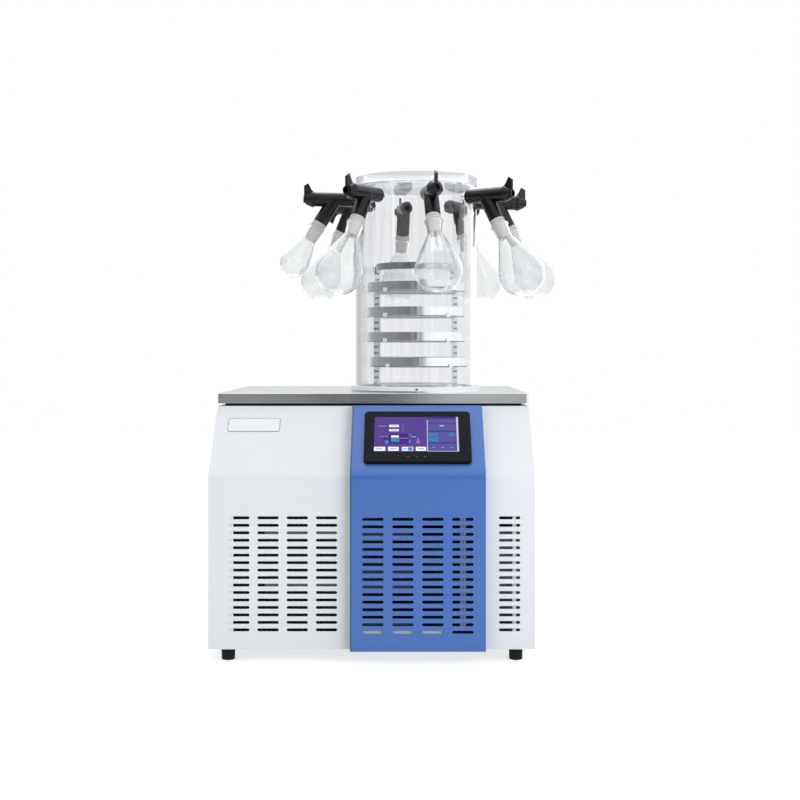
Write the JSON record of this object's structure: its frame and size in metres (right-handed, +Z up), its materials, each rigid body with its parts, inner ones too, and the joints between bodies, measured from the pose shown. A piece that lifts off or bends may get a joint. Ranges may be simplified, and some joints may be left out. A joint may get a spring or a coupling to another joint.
{
  "type": "freeze dryer",
  "caption": "Benchtop freeze dryer: slanted cabinet with a touch screen and cold trap, and a clear chamber with a tray rack and a ring of valves that hold pear-shaped flasks.",
  "frame": {"origin": "on the bench below the middle of the cabinet, in the plane of the feet", "axes": "+Z up, -Y towards the operator, +X to the right seen from the front"},
  "size_m": [0.7013, 0.682, 0.956],
  "materials": {
    "white_enamel": "fine satin powder coat",
    "blue_enamel": "fine satin powder coat",
    "stainless_steel": "brushed",
    "galvanised_steel": "plain",
    "black_rubber": "matte",
    "black_plastic": "matte",
    "screen_glass": "gloss",
    "label_film": "satin",
    "clear_acrylic": "clear",
    "flask_glass": "clear",
    "pale_silicone": "matte",
    "white_rubber": "matte",
    "copper": "plain",
    "brass": "plain",
    "foam": "rough",
    "black_enamel": "satin",
    "aluminium_fins": "black coated"
  },
  "bodies": {
    "cabinet": {"base_pan": "galvanised_steel", "front_panel": "white_enamel", "centre_panel": "blue_enamel", "side_panel_left": "white_enamel", "side_panel_right": "white_enamel", "rear_panel": "white_enamel", "feet": "black_rubber", "top_spacer": "black_rubber", "top_plate": "stainless_steel", "nameplate": "label_film", "display_bezel": "black_plastic", "display_screen": "screen_glass", "cold_trap": "stainless_steel", "evaporator_coil": "copper", "trap_insulation": "foam", "vacuum_port": "stainless_steel", "compressor": "black_enamel", "compressor_mounts": "black_rubber", "condenser": "aluminium_fins", "fan_shroud": "galvanised_steel", "fan_motor": "black_enamel", "control_box": "galvanised_steel", "power_inlet": "black_plastic", "drain_valve": "brass", "chamber_seal": "white_rubber", "chamber_tube": "clear_acrylic", "chamber_lid": "clear_acrylic", "rack_frame": "stainless_steel", "tray_1": "stainless_steel", "tray_2": "stainless_steel", "tray_3": "stainless_steel", "tray_4": "stainless_steel", "valve_body_1": "black_rubber", "flask_1": "flask_glass", "valve_body_2": "black_rubber", "flask_2": "flask_glass", "valve_body_3": "black_rubber", "flask_3": "flask_glass", "valve_body_4": "black_rubber", "flask_4": "flask_glass", "valve_body_5": "black_rubber", "flask_5": "flask_glass", "valve_body_6": "black_rubber", "flask_6": "flask_glass", "valve_body_7": "black_rubber", "flask_7": "flask_glass", "valve_body_8": "black_rubber", "flask_8": "flask_glass", "flask_adaptors": "pale_silicone"},
    "knob_1": {"valve_knob_1": "black_plastic"},
    "knob_2": {"valve_knob_2": "black_plastic"},
    "knob_3": {"valve_knob_3": "black_plastic"},
    "knob_4": {"valve_knob_4": "black_plastic"},
    "knob_5": {"valve_knob_5": "black_plastic"},
    "knob_6": {"valve_knob_6": "black_plastic"},
    "knob_7": {"valve_knob_7": "black_plastic"},
    "knob_8": {"valve_knob_8": "black_plastic"},
    "fan": {"fan_rotor": "black_plastic"},
    "rocker": {"power_rocker": "black_plastic"},
    "lever": {"drain_lever": "black_plastic"}
  },
  "joints": [
    {"name": "valve_1_turn", "type": "hinge", "parent": "cabinet", "child": "knob_1", "pos_m": [0.12204, -0.19624, 0.908], "axis": [0.1564, -0.9877, 0], "range_deg": [0, 180]},
    {"name": "valve_2_turn", "type": "hinge", "parent": "cabinet", "child": "knob_2", "pos_m": [0.26822, -0.10666, 0.908], "axis": [0.809, -0.5878, 0], "range_deg": [0, 180]},
    {"name": "valve_3_turn", "type": "hinge", "parent": "cabinet", "child": "knob_3", "pos_m": [0.30824, 0.06004, 0.908], "axis": [0.9877, 0.1564, 0], "range_deg": [0, 180]},
    {"name": "valve_4_turn", "type": "hinge", "parent": "cabinet", "child": "knob_4", "pos_m": [0.21866, 0.20622, 0.908], "axis": [0.5878, 0.809, 0], "range_deg": [0, 180]},
    {"name": "valve_5_turn", "type": "hinge", "parent": "cabinet", "child": "knob_5", "pos_m": [0.05196, 0.24624, 0.908], "axis": [-0.1564, 0.9877, 0], "range_deg": [0, 180]},
    {"name": "valve_6_turn", "type": "hinge", "parent": "cabinet", "child": "knob_6", "pos_m": [-0.09422, 0.15666, 0.908], "axis": [-0.809, 0.5878, 0], "range_deg": [-180, 0]},
    {"name": "valve_7_turn", "type": "hinge", "parent": "cabinet", "child": "knob_7", "pos_m": [-0.13424, -0.01004, 0.908], "axis": [-0.9877, -0.1564, 0], "range_deg": [0, 180]},
    {"name": "valve_8_turn", "type": "hinge", "parent": "cabinet", "child": "knob_8", "pos_m": [-0.04466, -0.15622, 0.908], "axis": [-0.5878, -0.809, 0], "range_deg": [0, 180]},
    {"name": "fan_spin", "type": "hinge", "parent": "cabinet", "child": "fan", "pos_m": [-0.168, -0.208, 0.1525], "axis": [0, 1, 0], "continuous": true},
    {"name": "switch_rock", "type": "hinge", "parent": "cabinet", "child": "rocker", "pos_m": [-0.22, 0.2995, 0.125], "axis": [1, 0, 0], "range_deg": [0, 18]},
    {"name": "drain_turn", "type": "hinge", "parent": "cabinet", "child": "lever", "pos_m": [0.087, 0.324, 0.2655], "axis": [0, 0, 1], "range_deg": [0, 90]}
  ]
}
